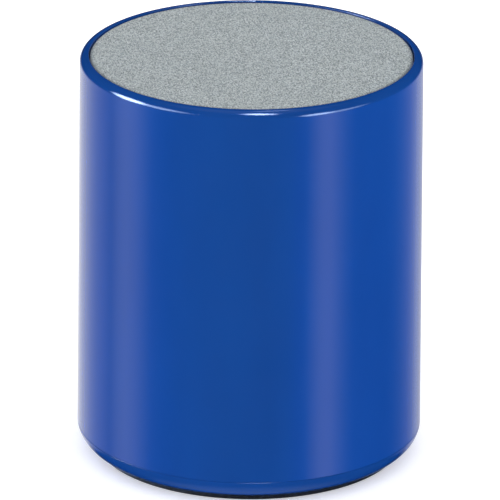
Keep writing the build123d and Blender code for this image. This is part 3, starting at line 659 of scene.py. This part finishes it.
yarn_pitch = 0.00031
weave = Finish("speaker cloth")
yarn_turn = math.radians(34)
crossing = woven(weave, yarn_pitch, yarn_turn)
fuzz = weave.noise(5200, 3, 0.7)
slub = (1, 0.5, 1)
mottle = weave.spread(weave.noise(4000, 3, 0.75, stretch=slub), 0.38, 0.62)
lights = weave.spread(weave.noise(5000, 2, 0.6, stretch=slub), 0.55, 0.64, 0.0, 0.66)
darks = weave.spread(weave.noise(4400, 2, 0.6, stretch=slub), 0.45, 0.35, 0.0, 0.8)
drift = weave.spread(weave.noise(75, 3, 0.6), 0.35, 0.65, 0.0, 0.16)
reach = weave.node("ShaderNodeVectorMath", operation="LENGTH")
flat_place = weave.node("ShaderNodeVectorMath", operation="MULTIPLY")
weave.feed(flat_place.inputs[0], weave.place)
flat_place.inputs[1].default_value = (1, 1, 0)
weave.feed(reach.inputs[0], flat_place.outputs["Vector"])
# Painted shadow: the cloth is darkened over its outermost half millimetre, where the rim's lip
# shades the gap.
edge_start = 0.02295
edge_end = 0.0234
edge_shadow_mask = weave.spread(reach.outputs["Value"], edge_start, edge_end, 0.0, 0.6)
dark_grey = (0.15, 0.185, 0.193)
mid_grey = (0.29, 0.345, 0.37)
light_grey = (0.55, 0.61, 0.62)
bright_fibre = (0.83, 0.885, 0.88)
dark_fibre = (0.06, 0.078, 0.085)
# Painted shade colour for the gaps of the weave.
weave_gap_shadow = (0.06, 0.072, 0.078)
# Painted shadow colour for the cloth's outer edge.
edge_shadow_colour = (0.07, 0.09, 0.11)
yarn = weave.mix(mottle, dark_grey, light_grey)
yarn = weave.mix(lights, yarn, bright_fibre)
yarn = weave.mix(darks, yarn, dark_fibre)
yarn = weave.mix(drift, yarn, mid_grey)
# Painted shade: darker where the yarns dip at the weave's crossings.
yarn = weave.mix(weave.spread(crossing, 0.15, 0.75, 0.6, 0.0), yarn, weave_gap_shadow)
# Painted shadow at the cloth's outer edge.
yarn = weave.mix(edge_shadow_mask, yarn, edge_shadow_colour)
cloth_finish = weave.set(
    colour=yarn,
    rough=weave.vary(fuzz, 0.82, 0.98),
    normal=weave.bump(crossing, 0.00006, 0.8, under=weave.bump(fuzz, 0.00002, 0.5)),
    sheen=0.25,
    sheen_rough=0.5,
)


spin_steps = 256
seam_reach = 0.0000005


def turned(corners, closed=True):
    """A profile of (radius, height, rounding, arc steps) corners, spun about the axis."""
    shape = bmesh.new()
    points = [shape.verts.new((corner[0], 0, corner[1])) for corner in corners]
    for first, second in zip(points, points[1:] + points[:1] if closed else points[1:]):
        shape.edges.new((first, second))
    for point, corner in zip(points, corners):
        if len(corner) > 2:
            arms = [
                (edge.other_vert(point).co - point.co).normalized() for edge in point.link_edges
            ]
            half = arms[0].angle(arms[1]) / 2
            bmesh.ops.bevel(
                shape,
                geom=[point],
                offset=corner[2] / math.tan(half),
                offset_type="OFFSET",
                segments=corner[3],
                profile=0.5,
                affect="VERTICES",
                material=-1,
            )
    bmesh.ops.spin(
        shape,
        geom=shape.verts[:] + shape.edges[:],
        cent=(0, 0, 0),
        axis=(0, 0, 1),
        angle=math.tau,
        steps=spin_steps,
        use_merge=True,
    )
    bmesh.ops.remove_doubles(shape, verts=shape.verts, dist=seam_reach)
    bmesh.ops.recalc_face_normals(shape, faces=shape.faces)
    shape.verts.index_update()
    count = len(shape.verts)

    def place(part):
        """A number from the part's first corners, so that the order is the same each time."""
        order = 0
        for index in sorted(vert.index for vert in part.verts)[:3]:
            order = order * count + index
        return order

    shape.edges.sort(key=place)
    shape.faces.sort(key=place)
    soften(shape)
    return shape


cloth_low, cloth_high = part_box("grille_cloth")
cloth_thickness = 0.00045
hem_width = 0.0018
woven_share = 0.6
cloth_shape = turned(
    [
        (cloth_high.x - cloth_thickness - hem_width, cloth_low.z),
        (cloth_high.x, cloth_low.z, 0.0003, 4),
        (cloth_high.x, cloth_high.z, 0.0004, 6),
        (0, cloth_high.z),
    ],
    closed=False,
)
cloth = stand_in(
    "grille_cloth_weave",
    cloth_shape,
    cloth_finish,
    "grey_cloth",
    "housing",
    "grille_cloth",
    wall=cloth_thickness * woven_share,
)

# ---- Foot ring and its tape
# A soft black ring, cut from foam sheet and taped into the cap's recess over the case screws. Its
# edge shows as a thin dark line, with the pale specks of the sheet's open cells.
finish_nodes(pale_tape("foot tape"), "foot_tape")
foot_low, foot_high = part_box("foot_ring")
foot_bore = 0.015
foot_shape = turned(
    [
        (foot_bore, foot_low.z, 0.0002, 3),
        (foot_high.x, foot_low.z, 0.00025, 4),
        (foot_high.x, foot_high.z, 0.00005, 2),
        (foot_bore, foot_high.z, 0.00005, 2),
    ]
)
foot_finish = foam("foot foam", (0.0035, 0.0035, 0.0038), (0.035, 0.034, 0.033))
stand_in("foot_ring_cut", foot_shape, foot_finish, "black_foot", "housing", "foot_ring")

# ---- Studio
# A pale floor and an even white room. The polished tube also sees tall streaks, whose colours are
# set by direction round the object, an overhead panel, and six soft boxes that glint on the rim.
scene = bpy.context.scene
scene.view_settings.view_transform = "Standard"
scene.view_settings.look = "None"
floor_shape = bmesh.new()
floor_reach = 3.0
bmesh.ops.create_grid(floor_shape, x_segments=8, y_segments=8, size=floor_reach)
floor_mesh = bpy.data.meshes.new("floor")
floor_shape.to_mesh(floor_mesh)
floor_shape.free()
floor = bpy.data.objects.new("floor", floor_mesh)
scene.collection.objects.link(floor)
pale = Finish("floor paint")
floor_glow = 0.4
pale.shader.inputs["Emission Color"].default_value = (1, 1, 1, 1)
pale.shader.inputs["Emission Strength"].default_value = floor_glow
floor_mesh.materials.append(
    pale.set(colour=pale.mix(pale.noise(3), (0.93, 0.93, 0.93), (0.95, 0.95, 0.95)), rough=0.9)
)
floor.visible_glossy = False

world = bpy.data.worlds.new("studio")
scene.world = world
world.use_nodes = True
room = world.node_tree
room_light = 1.05


def room_node(kind, *inputs, **settings):
    """A node of the room's light, with its inputs fed in order by values or by other nodes."""
    made = room.nodes.new(kind)
    for key, value in settings.items():
        setattr(made, key, value)
    for socket, value in zip(made.inputs, inputs):
        if isinstance(value, bpy.types.NodeSocket):
            room.links.new(value, socket)
        else:
            socket.default_value = value
    return made.outputs[0]


def room_math(operation, *inputs):
    return room_node("ShaderNodeMath", *inputs, operation=operation)


axes = room.nodes.new("ShaderNodeSeparateXYZ")
room.links.new(room_node("ShaderNodeTexCoord"), axes.inputs["Vector"])
frontward = room_math("MULTIPLY", axes.outputs["Y"], -1.0)
azimuth = room_math("DEGREES", room_math("ARCTAN2", axes.outputs["X"], frontward))
elevation = room_math("DEGREES", room_math("ARCSINE", axes.outputs["Z"]))
# Directions in degrees: 0 is the front, and the right side is positive.
streak_colours = [
    (-164, (0.84, 0.83, 0.84)),
    (-151, (0.81, 0.81, 0.92)),
    (-142, (0.75, 0.75, 0.92)),
    (-127, (0.49, 0.52, 0.94)),
    (-117, (0.37, 0.4, 0.97)),
    (-107, (0.25, 0.29, 0.83)),
    (-98, (0.6, 0.65, 1.37)),
    (-91, (0.77, 0.82, 1.66)),
    (-83, (0.64, 0.72, 1.73)),
    (-76, (0.35, 0.49, 1.52)),
    (-69, (0.08, 0.21, 1.19)),
    (-60, (0.0, 0.1, 0.89)),
    (-48, (0.0, 0.06, 0.49)),
    (-20, (0.0, 0.0, 0.0)),
    (10, (0.0, 0.0, 0.0)),
    (26, (0.01, 0.11, 0.56)),
    (33, (0.0, 0.11, 1.08)),
    (38, (0.06, 0.27, 1.5)),
    (43, (0.4, 0.56, 1.8)),
    (49, (0.78, 0.89, 2.14)),
    (55, (0.82, 0.91, 2.24)),
    (61, (0.49, 0.64, 1.91)),
    (67, (0.18, 0.36, 1.5)),
    (74, (0.01, 0.16, 1.24)),
    (82, (0.0, 0.12, 1.05)),
    (103, (0.0, 0.1, 0.82)),
    (112, (0.03, 0.14, 0.82)),
    (122, (0.11, 0.22, 0.81)),
    (134, (0.26, 0.33, 0.81)),
    (142, (0.4, 0.45, 0.78)),
    (151, (0.55, 0.59, 0.83)),
    (160, (0.52, 0.53, 0.62)),
]
brightest_streak = 2.5
streaks = room.nodes.new("ShaderNodeValToRGB")
turn_share = room_node("ShaderNodeMapRange", azimuth, -180.0, 180.0)
room.links.new(turn_share, streaks.inputs["Fac"])
ramp = streaks.color_ramp
while len(ramp.elements) < len(streak_colours):
    ramp.elements.new(0.5)
for element, (place, colour) in zip(ramp.elements, streak_colours):
    element.position = (place + 180) / 360
    element.color = (*(channel / brightest_streak for channel in colour), 1)
above_table = room_node("ShaderNodeMapRange", elevation, -34.0, -28.0)
below_edge = room_node("ShaderNodeMapRange", elevation, -6.0, -13.0)
streak_gain = 1.3 * brightest_streak
streak_reach = room_math("MULTIPLY", room_math("MULTIPLY", above_table, below_edge), streak_gain)
steepness = room_math("ABSOLUTE", elevation)
overhead_level = 0.3
glints = room_node("ShaderNodeMapRange", steepness, 55.0, 72.0, 0.0, overhead_level)
# Direction round the object, height, half width and half height in degrees, then brightness.
soft_boxes = [
    (-88, 8, 17, 20, 22.0),
    (-68, 7, 32, 16, 8.0),
    (8, 60, 19, 17, 22.0),
    (170, 67, 12, 6, 6.0),
    (44, 3, 14, 16, 9.0),
    (57, 0, 28, 13, 4.5),
]
for place, height, half_width, half_height, level in soft_boxes:
    aside = room_math("DIVIDE", room_math("SUBTRACT", azimuth, float(place)), float(half_width))
    above = room_math("DIVIDE", room_math("SUBTRACT", elevation, float(height)), float(half_height))
    aside_squared = room_math("MULTIPLY", aside, aside)
    away = room_math("ADD", aside_squared, room_math("MULTIPLY", above, above))
    glints = room_math("ADD", glints, room_node("ShaderNodeMapRange", away, 1.0, 0.2, 0.0, level))
lit_streaks = room_node("ShaderNodeVectorMath", streaks.outputs["Color"], operation="SCALE")
room.links.new(streak_reach, lit_streaks.node.inputs["Scale"])
box_tint = (0.8, 1.0, 1.35)
lit_boxes = room_node("ShaderNodeVectorMath", box_tint, operation="SCALE")
room.links.new(glints, lit_boxes.node.inputs["Scale"])
seen_in_gloss = room_node("ShaderNodeVectorMath", lit_streaks, lit_boxes, operation="ADD")
glossy_ray = room.nodes.new("ShaderNodeLightPath")
choose = room.nodes.new("ShaderNodeMix")
choose.data_type = "RGBA"
room.links.new(glossy_ray.outputs["Is Glossy Ray"], choose.inputs["Factor"])
choose.inputs["A"].default_value = (room_light, room_light, room_light, 1)
room.links.new(seen_in_gloss, choose.inputs["B"])
room.links.new(choose.outputs["Result"], room.nodes["Background"].inputs["Color"])

# ---- Camera
# On a stand in front of the table, with a long lens: it looks a little down on the object from
# about a metre away, tilted by half a degree.
view_height = math.radians(20.86)
view_distance = 1.1328
view_tilt = math.radians(0.45)
aim = Vector((-0.00001, 0, 0.0303))
lens = bpy.data.cameras.new("camera")
lens.sensor_width = 36
focal_length = 555.8
lens.lens = focal_length
lens.clip_start = 0.01
lens.clip_end = 20
camera = bpy.data.objects.new("camera", lens)
back = Vector((0, -math.cos(view_height), math.sin(view_height)))
camera.matrix_world = (
    Matrix.Translation(aim + back * view_distance)
    @ (-back).to_track_quat("-Z", "Y").to_matrix().to_4x4()
    @ Matrix.Rotation(view_tilt, 4, "Z")
)
scene.collection.objects.link(camera)
scene.camera = camera
